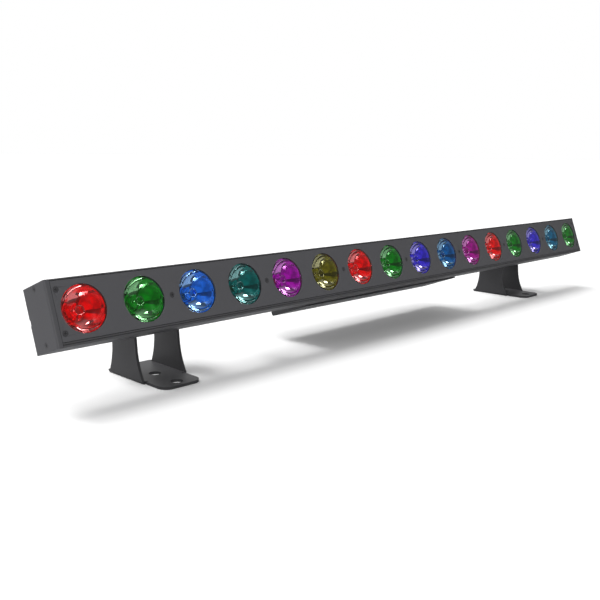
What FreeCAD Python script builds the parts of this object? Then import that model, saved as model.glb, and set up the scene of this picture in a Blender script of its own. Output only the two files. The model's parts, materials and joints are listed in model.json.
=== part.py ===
import FreeCAD, Part
import os
import re
import Sketcher

# LED strip batten: a one metre bar with sixteen lenses, a driver box behind its middle, and two folded
# floor brackets that it tilts on.  +X runs along the bar to its right end, +Y points to its back, +Z up.
# The origin is on the floor under the middle of the part.
# The bar's own pieces are drawn untilted, with their origin at the middle of the lens row on the front
# face; the same Placement then tilts them all and lifts them onto the brackets.

SIZES = {
    # the bar
    "bar_length": 1002,
    "bar_depth": 41,
    "face_top": 29.1,
    "face_bottom": -31.2,
    "wall": 2.2,
    "panel_top": 27.3,
    "panel_bottom": -26.7,
    "panel_thickness": 2,
    "panel_gap": 0.5,
    "ledge_depth": 2,
    "ledge_height": 2.8,
    "lip_groove_height": -29,
    "lip_groove_width": 0.7,
    "lip_groove_depth": 1,
    "web_front": 26.6,
    "web_thickness": 3,
    "port_depth": 20,
    "port_height": 25,
    "port_radius": 1.25,
    "port_block": 2.6,
    "fin_groove_depth": 1,
    "fin_groove_width": 1.5,
    "fin_groove_inner": 24.2,
    "fin_groove_outer": 27.2,
    "cap_thickness": 5,
    "cap_edge_radius": 2,
    "gasket_thickness": 0.5,
    "gasket_opening": 22,
    "gasket_front": 1.5,
    "gasket_back": 37.5,
    "notch_length": 5,
    "notch_depth": 1,
    "notch_height": -1.5,
    # the lens row
    "lens_count": 16,
    "lens_pitch": 62.5,
    "lens_window_radius": 22.2,
    "lens_face_radius": 21.95,
    "lens_face_inset": 0.5,
    "lens_rim_radius": 23.8,
    "lens_rim_thickness": 2,
    "lens_cone_radius": 20.5,
    "lens_base_radius": 7,
    "lens_depth": 22,
    "lens_cavity_radius": 5,
    "lens_cavity_depth": 8,
    "lens_cavity_draft": 0.4,
    "lens_shoulder": 1.5,
    "holder_gap": 0.3,
    "holder_front": 14,
    "holder_outer_radius": 14.6,
    "holder_inner_radius": 12.7,
    "holder_seat_radius": 8.5,
    "emitter_side": 5,
    "emitter_thickness": 1.4,
    "board_count": 4,
    "board_length": 238,
    "board_width": 43,
    "board_thickness": 1.6,
    "standoff_pitch": 125,
    "standoff_radius": 3.5,
    # screws of the bar
    "small_screw_radius": 1.5,
    "small_screw_head_radius": 2.6,
    "small_screw_head_height": 1.4,
    "small_screw_length": 9,
    "end_screw_place": 491.5,
    "end_screw_height": 19.4,
    "screw_gap": 0.1,
    "screw_drive_depth": 0.8,
    "screw_drive_share": 0.7,
    "tab_length": 7.5,
    "tab_middle": 18.5,
    "tab_height": 6,
    "tab_depth": 9,
    # the driver box
    "box_half_length": 160,
    "box_top": 31,
    "box_bottom": -33,
    "box_back": 104,
    "box_sheet": 1.6,
    "box_fold_radius": 3,
    "box_lip": 10,
    "box_flange": 12,
    "box_end_corner": 2,
    "box_end_margin": 3,
    "bar_flange_top": 18,
    "bar_flange_bottom": -20,
    "sheet_gap": 0.1,
    "box_screw_place": 152,
    "box_screw_height": 21,
    "cover_screw_head_radius": 3,
    "cover_screw_head_height": 1.7,
    "cover_screw_length": 7,
    "supply_left": -136,
    "supply_right": -36,
    "supply_front": 47,
    "supply_back": 95,
    "supply_top": 16,
    "supply_bottom": -30,
    "slot_count": 11,
    "slot_pitch": 8,
    "slot_width": 3,
    "slot_margin": 8,
    "slot_depth": 1,
    "panel_board_left": -16,
    "panel_board_right": 128,
    "panel_board_front": 90,
    "panel_board_half_height": 26,
    "switch_half_side": 3,
    "switch_height": 1.2,
    "processor_place": 44,
    "processor_side": 14,
    "processor_height": 1.4,
    "display_left": -6,
    "display_right": 46,
    "display_half_height": 13,
    "window_border": 3,
    "window_thickness": 1.8,
    "window_gap": 0.2,
    "button_first": 62,
    "button_pitch": 14,
    "button_radius": 4,
    "button_gap": 0.3,
    "button_flange_radius": 5.2,
    "button_proud": 1.6,
    "button_stem_radius": 2,
    "button_travel_room": 1.4,
    "button_flange_thickness": 2.5,
    "button_flange_gap": 0.5,
    "button_edge": 0.5,
    # sockets on the box ends
    "socket_near": 57.5,
    "socket_far": 87.5,
    "socket_height": -1,
    "socket_flange_half_width": 13,
    "socket_flange_half_height": 15.5,
    "socket_flange_thickness": 2,
    "socket_body_radius": 11.6,
    "socket_body_length": 20,
    "socket_bezel_radius": 9.9,
    "socket_bezel_height": 2,
    "socket_cavity_radius": 9,
    "socket_cavity_depth": 16,
    "socket_screw_across": 9.5,
    "socket_screw_up": 12,
    "socket_body_gap": 0.2,
    "socket_floor": 3,
    "contact_depth": 9,
    "contact_pitch": 2,
    "contact_width": 1,
    "contact_half_height": 2,
    "data_core_gap": 1.6,
    "power_core_radius": 4.1,
    "pin_radius": 0.8,
    "pin_circle_radius": 5.4,
    "release_half_width": 3.5,
    "release_bottom": 11.3,
    "release_top": 14.1,
    "release_travel": 1,
    "release_gap": 0.3,
    "release_length": 5,
    # the safety lug and the wiring
    "lug_place": -235,
    "lug_thickness": 5,
    "lug_reach": 15,
    "lug_radius": 11,
    "lug_hole_radius": 6,
    "lug_foot_half_width": 15,
    "lug_foot_thickness": 3,
    "round_gap": 0.001,
    "harness_radius": 2.5,
    "harness_lead_radius": 2.25,
    "harness_stem_radius": 2.75,
    "harness_depth": 34,
    "harness_height": -12,
    "harness_half_length": 352,
    "harness_branch_near": 100,
    "harness_branch_far": 350,
    "harness_exit": 20,
    # the tilt pivots
    "tilt_angle": 20,
    "bracket_place": 360,
    "pivot_back": 75,
    "saddle_half_width": 21.6,
    "saddle_sheet": 3,
    "saddle_foot_half_height": 22,
    "saddle_ear_radius": 16,
    "saddle_screw_height": 12,
    "saddle_screw_radius": 2.5,
    "saddle_screw_head_radius": 4.2,
    "saddle_screw_head_height": 3,
    "saddle_screw_drive_depth": 1.5,
    "saddle_screw_length": 11,
    "stud_radius": 4,
    "stud_gap": 0.05,
    "stud_hole_gap": 0.3,
    "weld_nut_radius": 7.2,
    "weld_nut_height": 6.5,
    "stud_end_gap": 0.5,
    "washer_radius": 14,
    "washer_thickness": 3.1,
    "knob_radius": 19,
    "knob_height": 14,
    "knob_gap": 0.2,
    "knob_hub_radius": 11,
    "knob_hub_height": 4,
    "knob_scallop_radius": 6,
    "knob_scallop_place": 22.5,
    # the floor brackets
    "plate_half_width": 24.2,
    "leg_half_width": 27.8,
    "bracket_sheet": 3,
    "bracket_fold_radius": 2.8,
    "plate_front": 3.7,
    "plate_back": 102,
    "plate_front_radius": 11,
    "plate_back_radius": 4,
    "plate_hole_radius": 6.5,
    "plate_hole_front": 16,
    "plate_hole_spacing": 38,
    "leg_foot_front": 36.5,
    "leg_foot_back": 96.6,
    "leg_flare_height": 33,
    "leg_flare_radius": 75,
    "leg_waist_front": 46.8,
    "leg_waist_back": 90,
    "leg_top_radius": 20,
    "relief_width": 2,
    "relief_depth": 3,
    # where the bar stands in the part's frame
    "lens_row_height": 96,
    "lens_row_setback": 48.43,
}

doc = FreeCAD.newDocument("led_strip_batten")
dims = doc.addObject("Spreadsheet::Sheet", "dims")
for row, (alias, size) in enumerate(SIZES.items(), start=1):
    dims.set(f"A{row}", alias)
    dims.set(f"B{row}", str(size))
    dims.setAlias(f"B{row}", alias)
doc.recompute()

WORD = re.compile(r"\b[a-z][a-z_]+\b")
FUNCTIONS = ("sin", "cos", "tan", "sqrt")
PLANES = {"X": "YZ_Plane", "Y": "XZ_Plane", "Z": "XY_Plane"}
pieces = []


def bound(text):
    """A formula in the sheet's aliases, written the way an expression names them."""
    def cell(match):
        word = match.group(0)
        return word if word in FUNCTIONS else f"dims.{word}"
    return WORD.sub(cell, str(text))


def value(text):
    return float(dims.evalExpression(bound(text)))


def bind(thing, field, text):
    thing.setExpression(field, bound(text))


# ---- ways of drawing -------------------------------------------------------------------------------

def constrain(sketch, kind, places, text):
    number = sketch.addConstraint(Sketcher.Constraint(kind, *places, value(text)))
    bind(sketch, f"Constraints[{number}]", text)


def circle(sketch, across, up, radius):
    centre = FreeCAD.Vector(value(across), value(up), 0)
    number = sketch.addGeometry(Part.Circle(centre, FreeCAD.Vector(0, 0, 1), value(radius)), False)
    constrain(sketch, "DistanceX", (-1, 1, number, 3), across)
    constrain(sketch, "DistanceY", (-1, 1, number, 3), up)
    constrain(sketch, "Radius", (number,), radius)


def arc_between(start, end, radius, turns_left):
    """The short arc from start to end; its centre is on the left of the run where turns_left is true."""
    chord = end - start
    middle = (start + end) * 0.5
    left = FreeCAD.Vector(-chord.y, chord.x, 0).normalize()
    rise = (radius ** 2 - (chord.Length / 2) ** 2) ** 0.5
    centre = middle + left * (rise if turns_left else -rise)
    spoke = left * (-radius if turns_left else radius)
    return Part.Arc(start, centre + spoke, end)


def outline(sketch, corners):
    """A closed outline.  A corner is (across, up), or (across, up, radius, turns_left) where an arc of
    that radius leads from it to the next corner."""
    spots = [FreeCAD.Vector(value(c[0]), value(c[1]), 0) for c in corners]
    ends = []
    for number, corner in enumerate(corners):
        start = spots[number]
        end = spots[(number + 1) % len(spots)]
        if len(corner) == 2:
            edge = sketch.addGeometry(Part.LineSegment(start, end), False)
            ends.append((edge, 1, 2))
        else:
            arc = arc_between(start, end, value(corner[2]), corner[3])
            edge = sketch.addGeometry(arc, False)
            ends.append((edge, 1, 2) if corner[3] else (edge, 2, 1))
    for number, corner in enumerate(corners):
        edge, first, last = ends[number]
        after, after_first, _ = ends[(number + 1) % len(ends)]
        sketch.addConstraint(Sketcher.Constraint("Coincident", edge, last, after, after_first))
        constrain(sketch, "DistanceX", (-1, 1, edge, first), corner[0])
        constrain(sketch, "DistanceY", (-1, 1, edge, first), corner[1])
        if len(corner) == 4:
            constrain(sketch, "Radius", (edge,), corner[2])


def rectangle(left, right, bottom, top):
    return [(left, bottom), (right, bottom), (right, top), (left, top)]


def new_sketch(body, axis, start, drawings):
    """A sketch square to an axis, at a place along it.  A drawing of three values is a circle."""
    sketch = body.newObject("Sketcher::SketchObject", f"{body.Name}_sketch")
    plane = next(o for o in body.Origin.OriginFeatures if o.Role == PLANES[axis])
    sketch.AttachmentSupport = [(plane, "")]
    sketch.MapMode = "FlatFace"
    sign = "-" if axis == "Y" else ""
    bind(sketch, "AttachmentOffset.Base.z", f"{sign}({start})")
    for drawing in drawings:
        if isinstance(drawing, tuple):
            circle(sketch, *drawing)
        else:
            outline(sketch, drawing)
    return sketch


def new_body(label):
    body = doc.addObject("PartDesign::Body", label)
    body.Label = label
    return body


def add(body, axis, start, length, *drawings):
    """Adds material from one place along an axis towards its positive end."""
    pad = body.newObject("PartDesign::Pad", f"{body.Name}_pad")
    pad.Profile = new_sketch(body, axis, start, drawings)
    pad.Reversed = axis == "Y"
    bind(pad, "Length", length)
    body.Tip = pad
    return pad


def cut(body, axis, start, length, *drawings):
    """Removes material from one place along an axis towards its positive end."""
    pocket = body.newObject("PartDesign::Pocket", f"{body.Name}_pocket")
    pocket.Profile = new_sketch(body, axis, start, drawings)
    pocket.Reversed = axis != "Y"
    bind(pocket, "Length", length)
    body.Tip = pocket
    return pocket


def turn(body, axis_role, plane_axis, corners):
    """Turns an outline round one of the body's own axes."""
    revolution = body.newObject("PartDesign::Revolution", f"{body.Name}_turning")
    revolution.Profile = new_sketch(body, plane_axis, "0", [corners])
    axis = next(o for o in body.Origin.OriginFeatures if o.Role == axis_role)
    revolution.ReferenceAxis = (axis, [""])
    revolution.Angle = 360
    body.Tip = revolution
    return revolution


def round_edges(body, radius, chosen):
    """Rounds the edges whose middles a test picks, on the body's shape so far."""
    doc.recompute()
    base = body.Tip
    edges = [
        f"Edge{number}"
        for number, edge in enumerate(base.Shape.Edges, start=1)
        if chosen(edge.CenterOfMass)
    ]
    fillet = body.newObject("PartDesign::Fillet", f"{body.Name}_fillet")
    fillet.Base = (base, edges)
    bind(fillet, "Radius", radius)
    body.Tip = fillet


def repeat_along_bar(body, feature, count, pitch):
    pattern = body.newObject("PartDesign::LinearPattern", f"{body.Name}_row")
    pattern.Originals = [feature]
    axis = next(o for o in body.Origin.OriginFeatures if o.Role == "X_Axis")
    pattern.Direction = (axis, [""])
    bind(pattern, "Length", f"({count} - 1) * {pitch}")
    bind(pattern, "Occurrences", count)
    body.Tip = pattern
    return pattern


def on_head(piece, along="0"):
    """Puts a piece that is drawn on the untilted bar where the tilted bar holds it."""
    turned = FreeCAD.Rotation(FreeCAD.Vector(1, 0, 0), -value("tilt_angle"))
    piece.Placement = FreeCAD.Placement(FreeCAD.Vector(0, 0, 0), turned)
    bind(piece, "Placement.Base.x", along)
    bind(piece, "Placement.Base.y", "-lens_row_setback")
    bind(piece, "Placement.Base.z", "lens_row_height")
    pieces.append(piece)


def on_floor(piece, along):
    bind(piece, "Placement.Base.x", along)
    bind(piece, "Placement.Base.y", "-lens_row_setback")
    pieces.append(piece)


# ---- the bar ---------------------------------------------------------------------------------------

HALF_HOUSING = "bar_length / 2 - cap_thickness - gasket_thickness"
BAR_PROFILE = rectangle("0", "bar_depth", "face_bottom", "face_top")


def housing_extrusion():
    """An aluminium extrusion: an open front channel, a web for the LED boards and a closed back cell."""
    body = new_body("housing_extrusion")
    groove_top = "lip_groove_height + lip_groove_width / 2"
    groove_bottom = "lip_groove_height - lip_groove_width / 2"
    seat_top = "panel_top + panel_gap"
    seat_bottom = "panel_bottom - panel_gap"
    ledge_back = "panel_thickness + ledge_depth"
    roof = "face_top - wall"
    ground = "face_bottom + wall"
    port_front = "port_depth - port_block"
    port_back = "port_depth + port_block"
    port_low = "port_height - port_block"
    fin_floor = "bar_depth - fin_groove_depth"
    corners = [
        ("0", "face_top"),
        ("0", seat_top),
        ("panel_thickness", seat_top),
        ("panel_thickness", f"{seat_top} - ledge_height"),
        (ledge_back, f"{seat_top} - ledge_height"),
        (ledge_back, roof),
        (port_front, roof),
        (port_front, port_low),
        (port_back, port_low),
        (port_back, roof),
        ("web_front", roof),
        ("web_front", ground),
        (port_back, ground),
        (port_back, f"-({port_low})"),
        (port_front, f"-({port_low})"),
        (port_front, ground),
        (ledge_back, ground),
        (ledge_back, f"{seat_bottom} + ledge_height"),
        ("panel_thickness", f"{seat_bottom} + ledge_height"),
        ("panel_thickness", seat_bottom),
        ("0", seat_bottom),
        ("0", groove_top),
        ("lip_groove_depth", groove_top),
        ("lip_groove_depth", groove_bottom),
        ("0", groove_bottom),
        ("0", "face_bottom"),
        ("bar_depth", "face_bottom"),
    ]
    for middle in ("-fin_groove_outer", "-fin_groove_inner", "fin_groove_inner", "fin_groove_outer"):
        corners += [
            ("bar_depth", f"{middle} - fin_groove_width / 2"),
            (fin_floor, f"{middle} - fin_groove_width / 2"),
            (fin_floor, f"{middle} + fin_groove_width / 2"),
            ("bar_depth", f"{middle} + fin_groove_width / 2"),
        ]
    corners.append(("bar_depth", "face_top"))
    cell = rectangle("web_front + web_thickness", "bar_depth - wall", ground, roof)
    ports = [("port_depth", "port_height", "port_radius"), ("port_depth", "-port_height", "port_radius")]
    add(body, "X", f"-({HALF_HOUSING})", f"2 * ({HALF_HOUSING})", corners, cell, *ports)
    saddle_holes = [
        (f"{side} * bracket_place", f"{up} * saddle_screw_height", "saddle_screw_radius + stud_gap")
        for side in (-1, 1)
        for up in (-1, 1)
    ]
    wire_hole = ("harness_exit", "harness_height", "2 * harness_radius")
    cut(body, "Y", "bar_depth - wall - 1", "wall + 2", wire_hole, *saddle_holes)
    branches = [
        (f"{side} * {place}", "harness_height", "harness_radius + stud_hole_gap")
        for side in (-1, 1)
        for place in ("harness_branch_near", "harness_branch_far")
    ]
    cut(body, "Y", "web_front - 1", "web_thickness + 2", *branches)
    on_head(body)


def front_panel():
    """The sheet that the lenses look through, screwed to the standoffs and to the end caps."""
    body = new_body("front_panel")
    sheet = rectangle(f"-({HALF_HOUSING})", HALF_HOUSING, "panel_bottom", "panel_top")
    add(body, "Y", "0", "panel_thickness", sheet)
    holes = [(x, up, "small_screw_radius + screw_gap") for x, up in panel_screw_places()]
    cut(body, "Y", "-1", "panel_thickness + 2", *holes)
    seats = [(x, up, "small_screw_head_radius + screw_gap") for x, up in panel_screw_places()]
    cut(body, "Y", "-1", "1 + small_screw_head_height", *seats)
    first = "-(lens_count - 1) * lens_pitch / 2"
    window = cut(body, "Y", "-1", "panel_thickness + 2", (first, "0", "lens_window_radius"))
    repeat_along_bar(body, window, "lens_count", "lens_pitch")
    on_head(body)


def panel_screw_places():
    places = [(f"{step} * standoff_pitch", "0") for step in range(-3, 4)]
    for side in (-1, 1):
        for up in (-1, 1):
            places.append((f"{side} * end_screw_place", f"{up} * end_screw_height"))
    return places


def front_panel_screws():
    body = new_body("front_panel_screws")
    heads = [(x, up, "small_screw_head_radius") for x, up in panel_screw_places()]
    add(body, "Y", "0", "small_screw_head_height", *heads)
    shanks = [(x, up, "small_screw_radius") for x, up in panel_screw_places()]
    add(body, "Y", "small_screw_head_height", "small_screw_length", *shanks)
    drives = [(x, up, "small_screw_radius * screw_drive_share") for x, up in panel_screw_places()]
    cut(body, "Y", "0", "screw_drive_depth", *drives)
    on_head(body)


def panel_standoffs():
    """Seven threaded pillars between the LED boards and the front panel."""
    body = new_body("panel_standoffs")
    places = [(f"{step} * standoff_pitch", "0") for step in range(-3, 4)]
    bores = [(x, up, "small_screw_radius + stud_gap") for x, up in places]
    length = "web_front - board_thickness - panel_thickness"
    add(body, "Y", "panel_thickness", length, *[(x, up, "standoff_radius") for x, up in places])
    cut(body, "Y", "0", "small_screw_head_height + small_screw_length + 1", *bores)
    on_head(body)


def end_cap(label, side):
    """A cast end plate with two tabs that the front panel's outer screws bite into."""
    body = new_body(label)
    outer = "bar_length / 2"
    start = f"{outer} - cap_thickness" if side > 0 else f"-({outer})"
    notch_top = "notch_height + notch_length / 2"
    notch_bottom = "notch_height - notch_length / 2"
    plate = [
        ("0", "face_bottom"),
        ("bar_depth", "face_bottom"),
        ("bar_depth", notch_bottom),
        ("bar_depth - notch_depth", notch_bottom),
        ("bar_depth - notch_depth", notch_top),
        ("bar_depth", notch_top),
        ("bar_depth", "face_top"),
        ("0", "face_top"),
    ]
    add(body, "X", start, "cap_thickness", plate)
    edge_x = value(outer) * side
    round_edges(body, "cap_edge_radius", lambda middle: (
        abs(middle.x - edge_x) < 0.1 and abs(middle.y) < 0.1))
    tabs = [
        rectangle("panel_thickness", "panel_thickness + tab_depth",
                  f"{up} * tab_middle - tab_height / 2", f"{up} * tab_middle + tab_height / 2")
        for up in (-1, 1)
    ]
    inner = f"{outer} - cap_thickness"
    tab_start = f"{inner} - tab_length" if side > 0 else f"-({inner})"
    add(body, "X", tab_start, "tab_length", *tabs)
    bores = [
        (f"{side} * end_screw_place", f"{up} * end_screw_height", "small_screw_radius + stud_gap")
        for up in (-1, 1)
    ]
    cut(body, "Y", "panel_thickness", "tab_depth", *bores)
    holes = [("port_depth", f"{up} * port_height", "small_screw_radius + screw_gap") for up in (-1, 1)]
    cut(body, "X", start, "cap_thickness", *holes)
    seats = [("port_depth", f"{up} * port_height", "small_screw_head_radius + screw_gap") for up in (-1, 1)]
    seat_start = f"{outer} - small_screw_head_height" if side > 0 else f"-({outer})"
    cut(body, "X", seat_start, "small_screw_head_height", *seats)
    on_head(body)


def end_cap_screws():
    body = new_body("end_cap_screws")
    outer = "bar_length / 2"
    places = [("port_depth", f"{up} * port_height") for up in (-1, 1)]
    heads = [(y, z, "small_screw_head_radius") for y, z in places]
    shanks = [(y, z, "port_radius - stud_gap") for y, z in places]
    drives = [(y, z, "port_radius") for y, z in places]
    reach = "small_screw_length + cap_thickness"
    add(body, "X", f"-({outer})", "small_screw_head_height", *heads)
    add(body, "X", f"-({outer}) + small_screw_head_height", reach, *shanks)
    add(body, "X", f"{outer} - small_screw_head_height", "small_screw_head_height", *heads)
    add(body, "X", f"{outer} - small_screw_head_height - ({reach})", reach, *shanks)
    cut(body, "X", f"-({outer})", "screw_drive_depth", *drives)
    cut(body, "X", f"{outer} - screw_drive_depth", "screw_drive_depth", *drives)
    on_head(body)


def end_gaskets():
    body = new_body("end_gaskets")
    opening = rectangle("gasket_front", "gasket_back", "-gasket_opening", "gasket_opening")
    holes = [("port_depth", f"{up} * port_height", "small_screw_radius + screw_gap") for up in (-1, 1)]
    for start in (f"-({HALF_HOUSING}) - gasket_thickness", HALF_HOUSING):
        add(body, "X", start, "gasket_thickness", BAR_PROFILE, opening, *holes)
    on_head(body)


# ---- the lens row ----------------------------------------------------------------------------------

def lens(number):
    """A moulded collimator: a flat front face in the panel's window, a rim behind the panel, and a cone
    down to a hollow over its LED."""
    body = new_body(f"lens_{number:02d}")
    rim_back = "panel_thickness + lens_rim_thickness"
    shoulder = "lens_depth - lens_shoulder"
    turn(body, "Y_Axis", "Z", [
        ("0", "lens_face_inset"),
        ("lens_face_radius", "lens_face_inset"),
        ("lens_face_radius", "panel_thickness"),
        ("lens_rim_radius", "panel_thickness"),
        ("lens_rim_radius", rim_back),
        ("lens_cone_radius", rim_back),
        ("lens_base_radius", shoulder),
        ("lens_base_radius", "lens_depth"),
        ("lens_cavity_radius", "lens_depth"),
        ("lens_cavity_radius - lens_cavity_draft", "lens_depth - lens_cavity_depth"),
        ("0", "lens_depth - lens_cavity_depth"),
    ])
    on_head(body, f"({number} - (lens_count + 1) / 2) * lens_pitch")


def lens_holders():
    """Sixteen black cups that seat the lenses over the LEDs."""
    body = new_body("lens_holders")
    board_face = "web_front - board_thickness"
    ring = turn(body, "Y_Axis", "Z", [
        ("holder_inner_radius", "holder_front"),
        ("holder_outer_radius", "holder_front"),
        ("holder_outer_radius", board_face),
        ("holder_seat_radius", board_face),
        ("holder_seat_radius", "lens_depth"),
        ("lens_base_radius + holder_gap", "lens_depth - lens_shoulder + holder_gap"),
    ])
    repeat_along_bar(body, ring, "lens_count", "lens_pitch")
    on_head(body, "-(lens_count - 1) * lens_pitch / 2")


def led_emitters():
    body = new_body("led_emitters")
    half = "emitter_side / 2"
    start = "web_front - board_thickness - emitter_thickness"
    square = rectangle(f"-{half}", half, f"-{half}", half)
    chip = add(body, "Y", start, "emitter_thickness", square)
    repeat_along_bar(body, chip, "lens_count", "lens_pitch")
    on_head(body, "-(lens_count - 1) * lens_pitch / 2")


def led_board(number):
    body = new_body(f"led_board_{number}")
    shape = rectangle("-board_length / 2", "board_length / 2", "-board_width / 2", "board_width / 2")
    add(body, "Y", "web_front - board_thickness", "board_thickness", shape)
    on_head(body, f"({number} - (board_count + 1) / 2) * lens_pitch * lens_count / board_count")


# ---- the driver box --------------------------------------------------------------------------------

def driver_box_cover():
    """One folded sheet: top, back and bottom, with a lip turned in along each front edge."""
    body = new_body("driver_box_cover")
    fold = "box_fold_radius"
    inner_fold = "box_fold_radius - box_sheet"
    inner_top = "box_top - box_sheet"
    inner_bottom = "box_bottom + box_sheet"
    inner_back = "box_back - box_sheet"
    lip_back = "bar_depth + box_sheet"
    add(body, "X", "-box_half_length", "2 * box_half_length", [
        ("bar_depth", "box_top"),
        ("bar_depth", "box_top - box_lip"),
        (lip_back, "box_top - box_lip"),
        (lip_back, inner_top),
        (f"{inner_back} - ({inner_fold})", inner_top, inner_fold, False),
        (inner_back, f"{inner_top} - ({inner_fold})"),
        (inner_back, f"{inner_bottom} + {inner_fold}", inner_fold, False),
        (f"{inner_back} - ({inner_fold})", inner_bottom),
        (lip_back, inner_bottom),
        (lip_back, "box_bottom + box_lip"),
        ("bar_depth", "box_bottom + box_lip"),
        ("bar_depth", "box_bottom"),
        (f"box_back - {fold}", "box_bottom", fold, True),
        ("box_back", f"box_bottom + {fold}"),
        ("box_back", f"box_top - {fold}", fold, True),
        (f"box_back - {fold}", "box_top"),
    ])
    openings = [rectangle("display_left + window_border", "display_right - window_border",
                          "-display_half_height + window_border", "display_half_height - window_border")]
    openings += [(x, "0", "button_radius + button_gap") for x in button_places()]
    openings += [(x, z, "small_screw_radius + screw_gap") for x, z in cover_screw_places()]
    cut(body, "Y", "box_back - box_sheet - 1", "box_sheet + 2", *openings)
    on_head(body)


def button_places():
    return [f"button_first + {number} * button_pitch" for number in range(4)]


def cover_screw_places():
    return [
        (f"{side} * box_screw_place", f"{up} * box_screw_height")
        for side in (-1, 1)
        for up in (-1, 1)
    ]


def driver_box_end(label, side):
    """A folded end plate with a flange to the cover's back and a flange to the bar."""
    body = new_body(label)
    front = "bar_depth + box_sheet + sheet_gap"
    back = "box_back - box_sheet - sheet_gap"
    top = "box_top - box_sheet - sheet_gap"
    bottom = "box_bottom + box_sheet + sheet_gap"
    start = "box_half_length - box_sheet" if side > 0 else "-box_half_length"
    plate = [
        (front, bottom),
        (f"{back} - box_end_corner", bottom),
        (back, f"{bottom} + box_end_corner"),
        (back, f"{top} - box_end_corner"),
        (f"{back} - box_end_corner", top),
        (front, top),
    ]
    add(body, "X", start, "box_sheet", plate)
    inner_face = "box_half_length - box_sheet"
    flange_start = f"{inner_face} - box_flange" if side > 0 else f"-({inner_face})"
    back_flange = rectangle(f"{back} - box_sheet", back,
                            f"{bottom} + box_end_margin", f"{top} - box_end_margin")
    front_flange = rectangle("bar_depth", "bar_depth + box_sheet", "bar_flange_bottom", "bar_flange_top")
    joint = rectangle("bar_depth", front, "bar_flange_bottom", "bar_flange_top")
    add(body, "X", start, "box_sheet", joint)
    add(body, "X", flange_start, "box_flange", back_flange, front_flange)
    hole = "socket_body_radius + socket_body_gap"
    holes = [(y, "socket_height", hole) for y in ("socket_near", "socket_far")]
    cut(body, "X", start, "box_sheet", *holes)
    bores = [
        (f"{side} * box_screw_place", f"{up} * box_screw_height", "small_screw_radius + stud_gap")
        for up in (-1, 1)
    ]
    cut(body, "Y", f"{back} - box_sheet", "box_sheet", *bores)
    on_head(body)


def driver_box_screws():
    body = new_body("driver_box_screws")
    heads = [(x, z, "cover_screw_head_radius") for x, z in cover_screw_places()]
    shanks = [(x, z, "small_screw_radius") for x, z in cover_screw_places()]
    drives = [(x, z, "small_screw_radius * screw_drive_share") for x, z in cover_screw_places()]
    add(body, "Y", "box_back", "cover_screw_head_height", *heads)
    add(body, "Y", "box_back - cover_screw_length", "cover_screw_length", *shanks)
    cut(body, "Y", "box_back + cover_screw_head_height - screw_drive_depth", "screw_drive_depth", *drives)
    on_head(body)


def power_supply():
    body = new_body("power_supply")
    shell = rectangle("supply_left", "supply_right", "supply_bottom", "supply_top")
    add(body, "Y", "supply_front", "supply_back - supply_front", shell)
    slots = []
    for number in range(1, SIZES["slot_count"] + 1):
        left = f"supply_left + {number} * slot_pitch"
        slots.append(rectangle(left, f"{left} + slot_width",
                               "supply_bottom + slot_margin", "supply_top - slot_margin"))
    cut(body, "Y", "supply_back - slot_depth", "slot_depth", *slots)
    on_head(body)


def control_board():
    """The board behind the driver box's back face, with a switch under each button."""
    body = new_body("control_board")
    half = "panel_board_half_height"
    board = rectangle("panel_board_left", "panel_board_right", f"-{half}", half)
    add(body, "Y", "panel_board_front", "board_thickness", board)
    side = "switch_half_side"
    switches = [rectangle(f"{x} - {side}", f"{x} + {side}", f"-{side}", side) for x in button_places()]
    add(body, "Y", "panel_board_front + board_thickness", "switch_height", *switches)
    processor = rectangle("processor_place", "processor_place + processor_side",
                          "-processor_side / 2", "processor_side / 2")
    add(body, "Y", "panel_board_front - processor_height", "processor_height", processor)
    on_head(body)


def display_module():
    body = new_body("display_module")
    shape = rectangle("display_left", "display_right", "-display_half_height", "display_half_height")
    start = "panel_board_front + board_thickness"
    add(body, "Y", start, f"box_back - box_sheet - ({start}) - window_gap", shape)
    on_head(body)


def display_window():
    body = new_body("display_window")
    inset = "(window_border + window_gap)"
    shape = rectangle(f"display_left + {inset}", f"display_right - {inset}",
                      f"-display_half_height + {inset}", f"display_half_height - {inset}")
    add(body, "Y", "box_back - box_sheet", "window_thickness", shape)
    on_head(body)


def menu_button(number):
    """A moulded cap with a flange inside the cover and a stem over its switch."""
    body = new_body(f"menu_button_{number}")
    stem_end = "panel_board_front + board_thickness + switch_height + button_travel_room"
    flange_back = "box_back - box_sheet - button_flange_gap"
    flange_front = f"{flange_back} - button_flange_thickness"
    tip = "box_back + button_proud"
    turn(body, "Y_Axis", "Z", [
        ("0", stem_end),
        ("button_stem_radius", stem_end),
        ("button_stem_radius", flange_front),
        ("button_flange_radius", flange_front),
        ("button_flange_radius", flange_back),
        ("button_radius", flange_back),
        ("button_radius", f"{tip} - button_edge"),
        ("button_radius - button_edge", tip),
        ("0", tip),
    ])
    on_head(body, button_places()[number - 1])


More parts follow.
